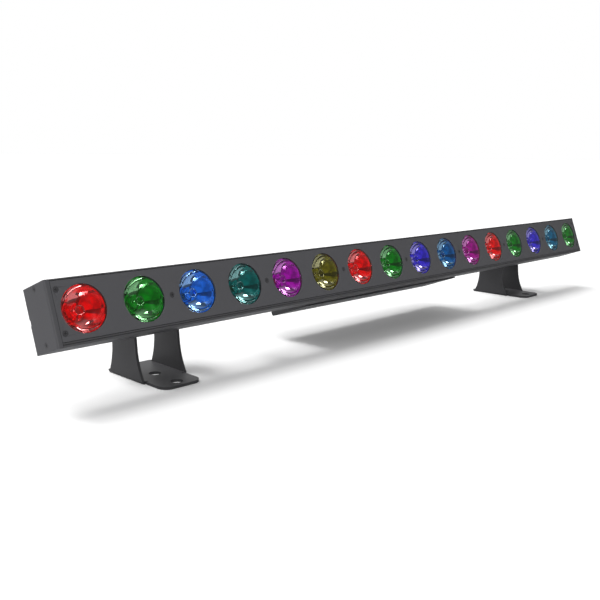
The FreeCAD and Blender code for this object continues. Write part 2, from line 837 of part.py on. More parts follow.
def socket(label, side, across, kind):
    """A panel socket: a square flange outside the box end, a round body through it and its contacts."""
    body = new_body(label)
    flange = rectangle(f"{across} - socket_flange_half_width", f"{across} + socket_flange_half_width",
                       "socket_height - socket_flange_half_height",
                       "socket_height + socket_flange_half_height")
    outside = "box_half_length"
    flange_start = outside if side > 0 else f"-{outside} - socket_flange_thickness"
    add(body, "X", flange_start, "socket_flange_thickness", flange)
    inside_start = f"{outside} - socket_body_length" if side > 0 else f"-{outside}"
    add(body, "X", inside_start, "socket_body_length", (across, "socket_height", "socket_body_radius"))
    rim = f"{outside} + socket_flange_thickness"
    bezel_start = rim if side > 0 else f"-({rim}) - socket_bezel_height"
    add(body, "X", bezel_start, "socket_bezel_height", (across, "socket_height", "socket_bezel_radius"))
    mouth = f"{rim} + socket_bezel_height"
    cavity_start = f"{mouth} - socket_cavity_depth" if side > 0 else f"-({mouth})"
    cavity = (across, "socket_height", "socket_cavity_radius")
    pins = [
        (f"{across} + pin_circle_radius * cos({72 * step + 18})",
         f"socket_height + pin_circle_radius * sin({72 * step + 18})")
        for step in range(5)
    ]
    if kind == "pins":
        cut(body, "X", cavity_start, "socket_cavity_depth", cavity)
        pin_start = f"{mouth} - socket_cavity_depth" if side > 0 else f"-({mouth}) + socket_floor"
        rods = [(y, z, "pin_radius") for y, z in pins]
        add(body, "X", pin_start, "socket_cavity_depth - socket_floor", *rods)
    elif kind == "holes":
        core = (across, "socket_height", "socket_cavity_radius - data_core_gap")
        cut(body, "X", cavity_start, "socket_cavity_depth", cavity, core)
        hole_start = f"{mouth} - contact_depth" if side > 0 else f"-({mouth})"
        wells = [(y, z, "pin_radius + socket_body_gap") for y, z in pins]
        cut(body, "X", hole_start, "contact_depth", *wells)
        half = "(release_half_width + release_gap)"
        slot = rectangle(f"{across} - {half}", f"{across} + {half}",
                         "socket_height + release_bottom - release_travel - release_gap",
                         "socket_height + release_top + release_gap")
        cut(body, "X", flange_start, "socket_flange_thickness", slot)
    else:
        core = (across, "socket_height", "power_core_radius")
        cut(body, "X", cavity_start, "socket_cavity_depth", cavity, core)
        slots = []
        for step in (-1, 0, 1):
            middle = f"{across} + {step} * contact_pitch"
            slots.append(rectangle(f"{middle} - contact_width / 2", f"{middle} + contact_width / 2",
                                   "socket_height - contact_half_height",
                                   "socket_height + contact_half_height"))
        hole_start = f"{mouth} - contact_depth" if side > 0 else f"-({mouth})"
        cut(body, "X", hole_start, "contact_depth", *slots)
    corners = [(f"{across} + {way} * socket_screw_across", f"socket_height + {way} * socket_screw_up",
                "small_screw_radius + screw_gap") for way in (-1, 1)]
    cut(body, "X", flange_start, "socket_flange_thickness", *corners)
    on_head(body)


def data_release_tab():
    """The thumb tab that frees a plug from the data output."""
    body = new_body("data_release_tab")
    shape = rectangle("socket_far - release_half_width", "socket_far + release_half_width",
                      "socket_height + release_bottom", "socket_height + release_top")
    add(body, "X", "box_half_length + release_gap", "release_length", shape)
    on_head(body)


def socket_screws():
    body = new_body("socket_screws")
    places = [
        (f"{across} + {way} * socket_screw_across", f"socket_height + {way} * socket_screw_up")
        for across in ("socket_near", "socket_far")
        for way in (-1, 1)
    ]
    rim = "box_half_length + socket_flange_thickness"
    heads = [(y, z, "small_screw_head_radius") for y, z in places]
    shanks = [(y, z, "small_screw_radius") for y, z in places]
    drives = [(y, z, "small_screw_radius * screw_drive_share") for y, z in places]
    head = "small_screw_head_height"
    add(body, "X", rim, head, *heads)
    add(body, "X", "box_half_length", "socket_flange_thickness", *shanks)
    add(body, "X", f"-({rim}) - {head}", head, *heads)
    add(body, "X", f"-({rim})", "socket_flange_thickness", *shanks)
    cut(body, "X", f"{rim} + {head} - screw_drive_depth", "screw_drive_depth", *drives)
    cut(body, "X", f"-({rim}) - {head}", "screw_drive_depth", *drives)
    on_head(body)


# ---- safety lug and wiring -------------------------------------------------------------------------

def safety_lug():
    """A flat tab welded to a foot on the bar's back, drilled for a safety cable's shackle."""
    body = new_body("safety_lug")
    foot = rectangle("lug_place - lug_foot_half_width", "lug_place + lug_foot_half_width",
                     "-lug_radius", "lug_radius")
    add(body, "Y", "bar_depth", "lug_foot_thickness", foot)
    root = "bar_depth + lug_foot_thickness / 2"
    middle = "bar_depth + lug_reach"
    tab = [
        ("lug_place - lug_radius", root),
        ("lug_place + lug_radius", root),
        ("lug_place + lug_radius", middle, "lug_radius + round_gap", True),
        ("lug_place - lug_radius", middle),
    ]
    add(body, "Z", "-lug_thickness / 2", "lug_thickness", tab)
    cut(body, "Z", "-lug_thickness", "2 * lug_thickness", ("lug_place", middle, "lug_hole_radius"))
    on_head(body)


def cylinder(name, radius, length, place, direction):
    rod = doc.addObject("Part::Cylinder", name)
    bind(rod, "Radius", radius)
    bind(rod, "Height", length)
    rod.Placement.Rotation = FreeCAD.Rotation(FreeCAD.Vector(0, 0, 1), direction)
    for field, text in zip("xyz", place):
        bind(rod, f"Placement.Base.{field}", text)
    return rod


def led_harness():
    """The wire bundle: a trunk in the bar's back cell, a lead to each LED board, one to the driver."""
    along = FreeCAD.Vector(1, 0, 0)
    back = FreeCAD.Vector(0, 1, 0)
    trunk_start = ("-harness_half_length", "harness_depth", "harness_height")
    rods = [cylinder("harness_trunk", "harness_radius", "2 * harness_half_length", trunk_start, along)]
    for side in (-1, 1):
        for place in ("harness_branch_near", "harness_branch_far"):
            start = (f"{side} * {place}", "web_front", "harness_height")
            depth = "harness_depth - web_front"
            rods.append(cylinder("harness_lead", "harness_lead_radius", depth, start, back))
    start = ("harness_exit", "harness_depth", "harness_height")
    length = "panel_board_front - harness_depth"
    rods.append(cylinder("harness_stem", "harness_stem_radius", length, start, back))
    fuse = doc.addObject("Part::MultiFuse", "led_harness")
    fuse.Label = "led_harness"
    fuse.Shapes = rods
    on_head(fuse)


# ---- the tilt pivots -------------------------------------------------------------------------------

def saddle(label, side):
    """A folded steel U on the bar's back; each ear carries a welded nut for a knob's stud."""
    body = new_body(label)
    foot = rectangle("-saddle_half_width", "saddle_half_width",
                     "-saddle_foot_half_height", "saddle_foot_half_height")
    add(body, "Y", "bar_depth", "saddle_sheet", foot)
    ear = [
        ("bar_depth", "-saddle_ear_radius"),
        ("pivot_back", "-saddle_ear_radius", "saddle_ear_radius + round_gap", True),
        ("pivot_back", "saddle_ear_radius"),
        ("bar_depth", "saddle_ear_radius"),
    ]
    add(body, "X", "-saddle_half_width", "saddle_sheet", ear)
    add(body, "X", "saddle_half_width - saddle_sheet", "saddle_sheet", ear)
    nut = [
        (f"pivot_back + weld_nut_radius * cos({60 * step})", f"weld_nut_radius * sin({60 * step})")
        for step in range(6)
    ]
    add(body, "X", "-saddle_half_width + saddle_sheet", "weld_nut_height", nut)
    add(body, "X", "saddle_half_width - saddle_sheet - weld_nut_height", "weld_nut_height", nut)
    stud_hole = ("pivot_back", "0", "stud_radius + stud_gap")
    cut(body, "X", "-saddle_half_width", "2 * saddle_half_width", stud_hole)
    screws = [("0", f"{up} * saddle_screw_height", "saddle_screw_radius + stud_gap") for up in (-1, 1)]
    cut(body, "Y", "bar_depth", "saddle_sheet", *screws)
    on_head(body, f"{side} * bracket_place")


def saddle_screws():
    body = new_body("saddle_screws")
    places = [
        (f"{side} * bracket_place", f"{up} * saddle_screw_height")
        for side in (-1, 1)
        for up in (-1, 1)
    ]
    face = "bar_depth + saddle_sheet"
    length = "saddle_screw_length"
    drive = "saddle_screw_drive_depth"
    heads = [(x, z, "saddle_screw_head_radius") for x, z in places]
    add(body, "Y", face, "saddle_screw_head_height", *heads)
    add(body, "Y", f"{face} - {length}", length, *[(x, z, "saddle_screw_radius") for x, z in places])
    drives = [(x, z, "saddle_screw_radius * screw_drive_share") for x, z in places]
    cut(body, "Y", f"{face} + saddle_screw_head_height - {drive}", drive, *drives)
    on_head(body)


def pivot_washers():
    """Four plastic friction discs between the saddle ears and the bracket legs."""
    body = new_body("pivot_washers")
    ring = [("pivot_back", "0", "washer_radius"), ("pivot_back", "0", "stud_radius + stud_hole_gap")]
    for side in (-1, 1):
        add(body, "X", f"{side} * bracket_place + saddle_half_width", "washer_thickness", *ring)
        start = f"{side} * bracket_place - saddle_half_width - washer_thickness"
        add(body, "X", start, "washer_thickness", *ring)
    on_head(body)


def tilt_knob(number, side, way):
    """A scalloped clamp knob on an M8 stud; way is +1 where it faces +X."""
    body = new_body(f"tilt_knob_{number}")
    seat = "leg_half_width + knob_gap"
    stud_end = "saddle_half_width - saddle_sheet - weld_nut_height + stud_end_gap"
    hub_start = seat if way > 0 else f"-({seat}) - knob_hub_height"
    add(body, "X", hub_start, "knob_hub_height", ("0", "0", "knob_hub_radius"))
    head_start = f"{seat} + knob_hub_height" if way > 0 else f"-({seat}) - knob_hub_height - knob_height"
    add(body, "X", head_start, "knob_height", ("0", "0", "knob_radius"))
    scallops = [
        (f"knob_scallop_place * cos({60 * step})",
         f"knob_scallop_place * sin({60 * step})",
         "knob_scallop_radius")
        for step in range(6)
    ]
    cut(body, "X", head_start, "knob_height", *scallops)
    stud_start = stud_end if way > 0 else f"-({seat})"
    add(body, "X", stud_start, f"{seat} - ({stud_end})", ("0", "0", "stud_radius"))
    angle = value("tilt_angle")
    turned = FreeCAD.Rotation(FreeCAD.Vector(1, 0, 0), -angle)
    body.Placement = FreeCAD.Placement(FreeCAD.Vector(0, 0, 0), turned)
    bind(body, "Placement.Base.x", f"{side} * bracket_place")
    bind(body, "Placement.Base.y", "pivot_back * cos(tilt_angle) - lens_row_setback")
    bind(body, "Placement.Base.z", "lens_row_height - pivot_back * sin(tilt_angle)")
    pieces.append(body)


# ---- the floor brackets ----------------------------------------------------------------------------

def floor_bracket(label, side):
    """One folded sheet: a drilled base plate and two legs that flare into it, with bend reliefs."""
    body = new_body(label)
    wide = "leg_half_width"
    plate = "plate_half_width"
    front_r = "plate_front_radius"
    back_r = "plate_back_radius"
    slot_front = "leg_foot_front - relief_width"
    slot_side = f"({plate} - relief_depth)"
    add(body, "Z", "0", "bracket_sheet", [
        (f"-{plate} + {front_r}", "plate_front"),
        (f"{plate} - {front_r}", "plate_front", front_r, True),
        (plate, f"plate_front + {front_r}"),
        (plate, slot_front),
        (slot_side, slot_front),
        (slot_side, "leg_foot_front"),
        (wide, "leg_foot_front"),
        (wide, f"plate_back - {back_r}", back_r, True),
        (f"{wide} - {back_r}", "plate_back"),
        (f"-{wide} + {back_r}", "plate_back", back_r, True),
        (f"-{wide}", f"plate_back - {back_r}"),
        (f"-{wide}", "leg_foot_front"),
        (f"-{slot_side}", "leg_foot_front"),
        (f"-{slot_side}", slot_front),
        (f"-{plate}", slot_front),
        (f"-{plate}", f"plate_front + {front_r}", front_r, True),
    ])
    pivot_y = "pivot_back * cos(tilt_angle)"
    pivot_z = "lens_row_height - pivot_back * sin(tilt_angle)"
    leg = [
        ("leg_foot_front", "0"),
        ("leg_foot_back", "0"),
        ("leg_foot_back", "bracket_sheet", "leg_flare_radius", False),
        ("leg_waist_back", "leg_flare_height"),
        (f"{pivot_y} + leg_top_radius", pivot_z, "leg_top_radius + round_gap", True),
        (f"{pivot_y} - leg_top_radius", pivot_z),
        ("leg_waist_front", "leg_flare_height", "leg_flare_radius", False),
        ("leg_foot_front", "bracket_sheet"),
    ]
    add(body, "X", f"-{wide}", "bracket_sheet", leg)
    add(body, "X", f"{wide} - bracket_sheet", "bracket_sheet", leg)
    cut(body, "X", f"-{wide} - 1", f"2 * {wide} + 2", (pivot_y, pivot_z, "stud_radius + stud_hole_gap"))
    holes = [("0", place, "plate_hole_radius") for place in
             ("plate_hole_front", "plate_hole_front + plate_hole_spacing")]
    cut(body, "Z", "-1", "bracket_sheet + 2", *holes)
    width = value(wide)
    round_edges(body, "bracket_fold_radius", lambda middle: (
        abs(abs(middle.x) - width) < 0.01
        and abs(middle.z) < 0.01
        and value("leg_foot_front") < middle.y < value("plate_back")))
    on_floor(body, f"{side} * bracket_place")


# ---- build, check and write ------------------------------------------------------------------------

housing_extrusion()
front_panel()
front_panel_screws()
panel_standoffs()
end_cap("end_cap_left", -1)
end_cap("end_cap_right", 1)
end_cap_screws()
end_gaskets()
for lens_number in range(1, SIZES["lens_count"] + 1):
    lens(lens_number)
lens_holders()
led_emitters()
for board_number in range(1, SIZES["board_count"] + 1):
    led_board(board_number)
driver_box_cover()
driver_box_end("driver_box_end_left", -1)
driver_box_end("driver_box_end_right", 1)
driver_box_screws()
power_supply()
control_board()
display_module()
display_window()
for button_number in range(1, 5):
    menu_button(button_number)
socket("power_in_socket", -1, "socket_near", "power")
socket("data_in_socket", -1, "socket_far", "pins")
socket("power_out_socket", 1, "socket_near", "power")
socket("data_out_socket", 1, "socket_far", "holes")
data_release_tab()
socket_screws()
safety_lug()
led_harness()
saddle("saddle_left", -1)
saddle("saddle_right", 1)
saddle_screws()
pivot_washers()
tilt_knob(1, -1, -1)
tilt_knob(2, -1, 1)
tilt_knob(3, 1, -1)
tilt_knob(4, 1, 1)
floor_bracket("floor_bracket_left", -1)
floor_bracket("floor_bracket_right", 1)
doc.recompute()

for thing in doc.Objects:
    if "Invalid" in thing.State or "Error" in thing.State:
        raise RuntimeError(f"{thing.Label} did not compute: {thing.State}")

os.makedirs("parts", exist_ok=True)
whole = FreeCAD.BoundBox()
for piece in pieces:
    shape = piece.Shape
    if shape.isNull() or not shape.isValid() or not shape.Solids:
        raise RuntimeError(f"{piece.Label} has no valid solid")
    whole.add(shape.BoundBox)
    shape.exportStep(f"parts/{piece.Label}.step")
    print(f"{piece.Label}: {len(shape.Solids)} solid(s), {shape.Volume / 1000:.1f} cm3")
print(f"{len(pieces)} pieces, X {whole.XMin:.2f} to {whole.XMax:.2f}, "
      f"Y {whole.YMin:.2f} to {whole.YMax:.2f}, Z {whole.ZMin:.2f} to {whole.ZMax:.2f}")
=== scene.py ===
import json
from math import cos, pi, radians, sin

import bmesh
import bpy
from mathutils import Matrix, Vector


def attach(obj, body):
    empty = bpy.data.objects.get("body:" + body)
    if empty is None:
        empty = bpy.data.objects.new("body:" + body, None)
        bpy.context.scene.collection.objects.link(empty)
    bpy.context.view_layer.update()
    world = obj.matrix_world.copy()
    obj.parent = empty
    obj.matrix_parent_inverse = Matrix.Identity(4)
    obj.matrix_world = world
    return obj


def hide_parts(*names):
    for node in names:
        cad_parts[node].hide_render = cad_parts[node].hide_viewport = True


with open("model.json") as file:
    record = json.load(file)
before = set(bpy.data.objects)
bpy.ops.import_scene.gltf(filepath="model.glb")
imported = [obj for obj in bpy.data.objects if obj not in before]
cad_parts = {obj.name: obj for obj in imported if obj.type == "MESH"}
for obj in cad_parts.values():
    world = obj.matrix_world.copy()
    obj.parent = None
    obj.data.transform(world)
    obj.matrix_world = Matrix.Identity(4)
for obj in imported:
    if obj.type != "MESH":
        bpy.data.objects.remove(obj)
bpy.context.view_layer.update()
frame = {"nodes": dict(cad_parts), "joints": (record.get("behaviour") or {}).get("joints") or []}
nodes = frame["nodes"]
scene = bpy.context.scene
MM = 0.001


# ---- the studio: floor, light and camera ------------------------------------------------------------
# A white floor that runs out of view, a sky that is bright behind the bar, two broad distant lights
# from above, and a soft box at the left in front.  None of this is part of the object.

def linear(hex_colour):
    """An sRGB hex colour as the linear RGBA that shaders take."""
    channels = [int(hex_colour[i:i + 2], 16) / 255 for i in (1, 3, 5)]
    return [c / 12.92 if c <= 0.04045 else ((c + 0.055) / 1.055) ** 2.4 for c in channels] + [1.0]


def add_node(tree, kind, inputs=(), **settings):
    """Adds a node, sets its settings, and fills its inputs: a socket is linked, anything else is set."""
    made = tree.nodes.new(kind)
    for name, value in settings.items():
        setattr(made, name, value)
    for name, value in dict(inputs).items():
        if isinstance(value, bpy.types.NodeSocket):
            tree.links.new(value, made.inputs[name])
        else:
            made.inputs[name].default_value = value
    return made


def new_material(name):
    """An empty node material and its output node."""
    material = bpy.data.materials.new(name)
    material.use_nodes = True
    material.node_tree.nodes.clear()
    output = add_node(material.node_tree, "ShaderNodeOutputMaterial")
    return material, material.node_tree, output


def new_object(name, mesh):
    """An object in the scene that shows a mesh or a lamp."""
    made = bpy.data.objects.new(name, mesh)
    scene.collection.objects.link(made)
    return made


def area_light(name, place, aim, width, height, power):
    """A rectangular soft box at a place, turned to shine on its aim."""
    lamp = bpy.data.lights.new(name, "AREA")
    lamp.shape = "RECTANGLE"
    lamp.size = width
    lamp.size_y = height
    lamp.energy = power
    made = new_object(name, lamp)
    made.location = place
    made.rotation_euler = (Vector(aim) - Vector(place)).to_track_quat("-Z", "Y").to_euler()
    return made


FLOOR_SIZE = 60
half = FLOOR_SIZE / 2
floor_mesh = bpy.data.meshes.new("studio_floor")
floor_mesh.from_pydata([(-half, -half, 0), (half, -half, 0), (half, half, 0), (-half, half, 0)],
                       [], [(0, 1, 2, 3)])
floor = new_object("studio_floor", floor_mesh)
floor_material, tree, output = new_material("studio_floor_white_paper")
# White paper, seen paler than the tone that it throws back up at the bar, so that the bar's underside
# stays dark.
seen = add_node(tree, "ShaderNodeLightPath")
tone = add_node(tree, "ShaderNodeMix", {
    "Factor": seen.outputs["Is Camera Ray"], "A": linear("#bababc"), "B": linear("#f4f4f4"),
}, data_type="RGBA")
paper = add_node(tree, "ShaderNodeBsdfDiffuse", {"Color": tone.outputs["Result"]})
tree.links.new(paper.outputs[0], output.inputs["Surface"])
floor_mesh.materials.append(floor_material)

# The sky is bright overhead and behind the bar, and dim in front of it, so the lenses keep their colour.
SKY_BRIGHT = 0.86
SKY_DIM = 0.16
world = bpy.data.worlds.new("studio_sky")
world.use_nodes = True
scene.world = world
tree = world.node_tree
tree.nodes.clear()
place = add_node(tree, "ShaderNodeTexCoord")
lean = add_node(tree, "ShaderNodeVectorMath", {0: place.outputs["Generated"], 1: (0, 0.5, 0.7)},
                operation="DOT_PRODUCT")
fade = add_node(tree, "ShaderNodeMapRange", {
    "Value": lean.outputs["Value"], "From Min": -0.1, "From Max": 0.75,
    "To Min": SKY_DIM, "To Max": SKY_BRIGHT})
ray = add_node(tree, "ShaderNodeLightPath")
strength = add_node(tree, "ShaderNodeMix", {
    "Factor": ray.outputs["Is Camera Ray"], "A": fade.outputs["Result"], "B": 1.0})
sky = add_node(tree, "ShaderNodeBackground", {"Color": linear("#ffffff"), "Strength": strength.outputs[0]})
add_node(tree, "ShaderNodeOutputWorld", {"Surface": sky.outputs[0]})


def sun_light(name, way, power, spread):
    """A soft distant light that shines along a direction."""
    lamp = bpy.data.lights.new(name, "SUN")
    lamp.energy = power
    lamp.angle = radians(spread)
    made = new_object(name, lamp)
    made.rotation_euler = Vector(way).to_track_quat("-Z", "Y").to_euler()
    return made


# The key light stands behind the bar, high and a little to its left, so the shadow falls forward.
sun_light("key_light", way=(0.24, -0.5, -1), power=1.25, spread=22)
sun_light("overhead_light", way=(0.34, -0.12, -1), power=1.2, spread=30)
# The soft box at the left in front gives the lenses their glints.
area_light("front_light", place=(-1.5, -1.8, 1.3), aim=(0, 0, 0.08), width=0.45, height=1.0, power=17)
scene.view_settings.view_transform = "Standard"

# The camera stands to the bar's left and looks along it, a little above the floor.
CAMERA_PLACE = Vector((-802.2, -637.965, 231.9)) * MM
CAMERA_TURN = radians(-45.66)
CAMERA_DROP = radians(11.005)
CAMERA_ROLL = radians(0.68)
CAMERA_LENS = 45.51
SENSOR_WIDTH = 36
ahead = Vector((
    -sin(CAMERA_TURN) * cos(CAMERA_DROP),
    cos(CAMERA_TURN) * cos(CAMERA_DROP),
    -sin(CAMERA_DROP),
))
level = Vector((cos(CAMERA_TURN), sin(CAMERA_TURN), 0))
upright = level.cross(ahead)
right = level * cos(CAMERA_ROLL) + upright * sin(CAMERA_ROLL)
up = right.cross(ahead)
camera_data = bpy.data.cameras.new("camera")
camera_data.lens = CAMERA_LENS
camera_data.sensor_width = SENSOR_WIDTH
camera = new_object("camera", camera_data)
camera.matrix_world = Matrix((
    (right.x, up.x, -ahead.x, CAMERA_PLACE.x),
    (right.y, up.y, -ahead.y, CAMERA_PLACE.y),
    (right.z, up.z, -ahead.z, CAMERA_PLACE.z),
    (0, 0, 0, 1),
))
scene.camera = camera


# ---- the bar's own frame ----------------------------------------------------------------------------
# The bar is tilted face up, so its pieces are drawn straight and then turned with it: x along the bar,
# y from the face to the back, z up the face.  The press of a button and of the release tab give the axes.

def joint(name):
    """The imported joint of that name."""
    return next(j for j in frame["joints"] if j["name"] == name)


bar_back = -Vector(joint("button_1_press")["axis"]).normalized()
bar_up = -Vector(joint("release_press")["axis"]).normalized()


def reach(node, axis):
    """How far a CAD node reaches along an axis: lowest and highest."""
    along = [vertex.co.dot(axis) for vertex in nodes[node].data.vertices]
    return min(along), max(along)


face_plane = reach("front_panel", bar_back)[0]
lens_line = sum(reach("lens_01", bar_up)) / 2
BAR = Matrix((
    (1, bar_back.x, bar_up.x, 0),
    (0, bar_back.y, bar_up.y, bar_back.y * face_plane + bar_up.y * lens_line),
    (0, bar_back.z, bar_up.z, bar_back.z * face_plane + bar_up.z * lens_line),
    (0, 0, 0, 1),
))


def solids_of(node):
    """Lowest and highest corner of each solid of a CAD node in the bar's own frame, from left to right."""
    shape = bmesh.new()
    shape.from_mesh(nodes[node].data)
    bmesh.ops.remove_doubles(shape, verts=shape.verts, dist=0.001 * MM)
    into_bar = BAR.inverted()
    unseen = set(shape.verts)
    boxes = []
    while unseen:
        group = [unseen.pop()]
        spots = []
        while group:
            vertex = group.pop()
            spots.append(into_bar @ vertex.co)
            near = {edge.other_vert(vertex) for edge in vertex.link_edges} & unseen
            unseen -= near
            group.extend(near)
        low = Vector([min(spot[i] for spot in spots) for i in range(3)])
        high = Vector([max(spot[i] for spot in spots) for i in range(3)])
        boxes.append((low, high))
    shape.free()
    return sorted(boxes, key=lambda box: (round(box[0].x, 4), round(box[0].z, 4), round(box[0].y, 4)))


# ---- housing and end caps ---------------------------------------------------------------------------
# An extruded aluminium channel with cast end plates, all in fine-textured black powder coat.  The coat
# rounds every edge a little and scatters light into a soft grey sheen.

def grained(name, colour, grain, roughness, relief, metallic=0.0, coat=0.0, stretch=(1, 1, 1), spread=0.17):
    """A surface with a fine grain in its colour and relief, and cloudy gloss: grain and relief in metres."""
    material, tree, output = new_material(name)
    place = add_node(tree, "ShaderNodeTexCoord")
    drawn = add_node(tree, "ShaderNodeMapping", {"Vector": place.outputs["Object"], "Scale": stretch})
    fine = add_node(tree, "ShaderNodeTexNoise",
                    {"Vector": drawn.outputs[0], "Scale": 1 / grain, "Detail": 3.0, "Roughness": 0.6})
    cloud = add_node(tree, "ShaderNodeTexNoise",
                     {"Vector": place.outputs["Object"], "Scale": 1 / (90 * MM), "Detail": 2.0})
    shade = [c * (1 - spread) for c in linear(colour)[:3]] + [1.0]
    light = [min(c * (1 + spread), 1.0) for c in linear(colour)[:3]] + [1.0]
    tint = add_node(tree, "ShaderNodeMix", {"Factor": fine.outputs["Fac"], "A": shade, "B": light},
                    data_type="RGBA")
    gloss = add_node(tree, "ShaderNodeMapRange", {
        "Value": cloud.outputs["Fac"], "From Min": 0.3, "From Max": 0.7,
        "To Min": roughness - 0.05, "To Max": roughness + 0.05})
    bump = add_node(tree, "ShaderNodeBump",
                    {"Height": fine.outputs["Fac"], "Strength": 0.5, "Distance": relief})
    surface = add_node(tree, "ShaderNodeBsdfPrincipled", {
        "Base Color": tint.outputs["Result"], "Roughness": gloss.outputs["Result"], "Metallic": metallic,
        "Normal": bump.outputs["Normal"], "Coat Weight": coat, "Coat Roughness": 0.1})
    tree.links.new(surface.outputs[0], output.inputs["Surface"])
    return material


def finish(node, material, edge=0.0):
    """Gives a CAD node its material, and rounds its sharp edges by the given radius."""
    thing = nodes[node]
    thing.data.materials.clear()
    thing.data.materials.append(material)
    if edge:
        weld = thing.modifiers.new("weld", "WELD")
        weld.merge_threshold = 0.00001
        bevel = thing.modifiers.new("edges", "BEVEL")
        bevel.width = edge
        bevel.segments = 2
        bevel.limit_method = "ANGLE"
        bevel.angle_limit = radians(40)
        thing.data.polygons.foreach_set("use_smooth", [True] * len(thing.data.polygons))
        flat = thing.modifiers.new("flat_faces", "WEIGHTED_NORMAL")
        flat.weight = 100
        flat.keep_sharp = True
    return thing


# Powder coat, cured with a fine orange peel: dark grey-black with a soft, even sheen.
housing_coat = grained("fine_textured_powder_coat", "#48484a",
                       grain=0.7 * MM, roughness=0.5, relief=0.03 * MM)
finish("housing_extrusion", housing_coat, edge=0.25 * MM)
# The same coat over a casting: coarser and a touch paler.
cap_coat = grained("cast_cap_powder_coat", "#4c4c4f",
                   grain=0.8 * MM, roughness=0.55, relief=0.04 * MM)
for side in ("left", "right"):
    finish(f"end_cap_{side}", cap_coat, edge=0.4 * MM)


# ---- front panel ------------------------------------------------------------------------------------
# A punched aluminium strip set into the channel's face, in satin powder coat painted a shade paler than the
# housing: painted light for the extra light that the flat sheet catches.

# Satin powder coat on flat sheet: an even grey with hardly any texture, painted paler than the housing's
# coat as painted light.
panel_coat = grained("satin_panel_powder_coat", "#515154",
                     grain=0.5 * MM, roughness=0.55, relief=0.02 * MM)
finish("front_panel", panel_coat, edge=0.2 * MM)


# ---- lenses -----------------------------------------------------------------------------------------
# Clear acrylic collimators: a flat face in the panel's window, a cone that mirrors light by total
# reflection, and a hollow over the LED.  Each shows the colour of the light behind it.

def turned(name, profile, steps=96, closed=False):
    """A mesh turned round the y axis from (radius, y) pairs in millimetres.

    A third value, a fraction, presses the ring into a cross of arms that wide, as a driver fits.
    """
    shape = bmesh.new()
    rings = []
    for radius, depth, *arm in profile:
        if radius < 1e-6:
            rings.append([shape.verts.new((0, depth * MM, 0))])
            continue
        ring = []
        for step in range(steps):
            turn = 2 * pi * step / steps
            across = radius
            if arm:
                across = min(radius, radius * arm[0] / max(min(abs(sin(turn)), abs(cos(turn))), 0.001))
            ring.append(shape.verts.new((across * MM * cos(turn), depth * MM, across * MM * sin(turn))))
        rings.append(ring)
    pairs = list(zip(rings, rings[1:] + rings[:1])) if closed else list(zip(rings, rings[1:]))
    for first, second in pairs:
        for step in range(steps):
            after = (step + 1) % steps
            corners = [first[step % len(first)], first[after % len(first)],
                       second[after % len(second)], second[step % len(second)]]
            face = list(dict.fromkeys(corners))
            if len(face) > 2:
                shape.faces.new(face)
    bmesh.ops.recalc_face_normals(shape, faces=shape.faces)
    mesh = bpy.data.meshes.new(name)
    shape.to_mesh(mesh)
    shape.free()
    mesh.polygons.foreach_set("use_smooth", [True] * len(mesh.polygons))
    mesh.set_sharp_from_angle(angle=radians(35))
    return mesh


# In millimetres: the cone's radii at its two ends, and where along y it starts and ends.
CONE_TOP = 20.4
CONE_BASE = 7.0
CONE_START = 4.0
CONE_END = 20.4
CONE_STEPS = 14
# The face slides into the panel's window, and the rim behind it is held by the panel.
FACE_RADIUS = 21.95
RIM_RADIUS = 23.7
RIM_START = 2.02


def cone_radius(depth, swell=1.5):
    """The collimator's flank: a shallow curve from its rim down to its base."""
    share = (depth - CONE_START) / (CONE_END - CONE_START)
    return CONE_TOP + (CONE_BASE - CONE_TOP) * share + swell * 4 * share * (1 - share)


lens_profile = [
    (0, 0.55), (12, 0.56), (21.2, 0.6), (21.75, 0.8), (FACE_RADIUS, 1.2), (FACE_RADIUS, RIM_START),
    (RIM_RADIUS, RIM_START), (RIM_RADIUS, CONE_START),
]
for step in range(CONE_STEPS + 1):
    depth = CONE_START + (CONE_END - CONE_START) * step / CONE_STEPS
    lens_profile.append((cone_radius(depth), depth))
# The base, and the hollow over the LED with its small domed roof.
lens_profile += [
    (CONE_BASE, 21.9), (5, 21.9), (4.5, 14.4), (4.3, 15.1), (3.9, 15.7), (2.9, 16.2), (1.6, 16.2), (0, 16.2),
]

# The colour of each light, and the lights from the bar's left end to its right.
LIGHT_COLOURS = {
    "red": "#e60a10", "green": "#0fa22b", "blue": "#3c92dd", "teal": "#028e8b", "magenta": "#bb18be",
    "olive": "#8e8a12", "violet": "#6556d8", "azure": "#0a85ba", "cerise": "#bf18af", "aqua": "#0a8eac",
}
LENS_ORDER = [
    "red", "green", "blue", "teal", "magenta", "olive", "red", "green",
    "violet", "azure", "cerise", "red", "green", "violet", "aqua", "green",
]


def tinted_acrylic(colour_name):
    """Polished acrylic that carries its light's colour: clear, sharp white glints, deep colour inside."""
    material, tree, output = new_material(f"acrylic_over_{colour_name}_light")
    place = add_node(tree, "ShaderNodeTexCoord")
    flow = add_node(tree, "ShaderNodeTexNoise",
                    {"Vector": place.outputs["Object"], "Scale": 1 / (14 * MM), "Detail": 1.0})
    bump = add_node(tree, "ShaderNodeBump",
                    {"Height": flow.outputs["Fac"], "Strength": 0.25, "Distance": 0.25 * MM})
    acrylic = add_node(tree, "ShaderNodeBsdfPrincipled", {
        "Base Color": [0.2 + 0.8 * c for c in linear(LIGHT_COLOURS[colour_name])[:3]] + [1.0],
        "Roughness": 0.02, "IOR": 1.49, "Transmission Weight": 1.0, "Normal": bump.outputs["Normal"]})
    tree.links.new(acrylic.outputs[0], output.inputs["Surface"])
    return material


# The cup's four legs of painted shade: how many, and how far they are turned, in radians times that number.
LEG_COUNT = 4.0
LEG_TURN = 0.9


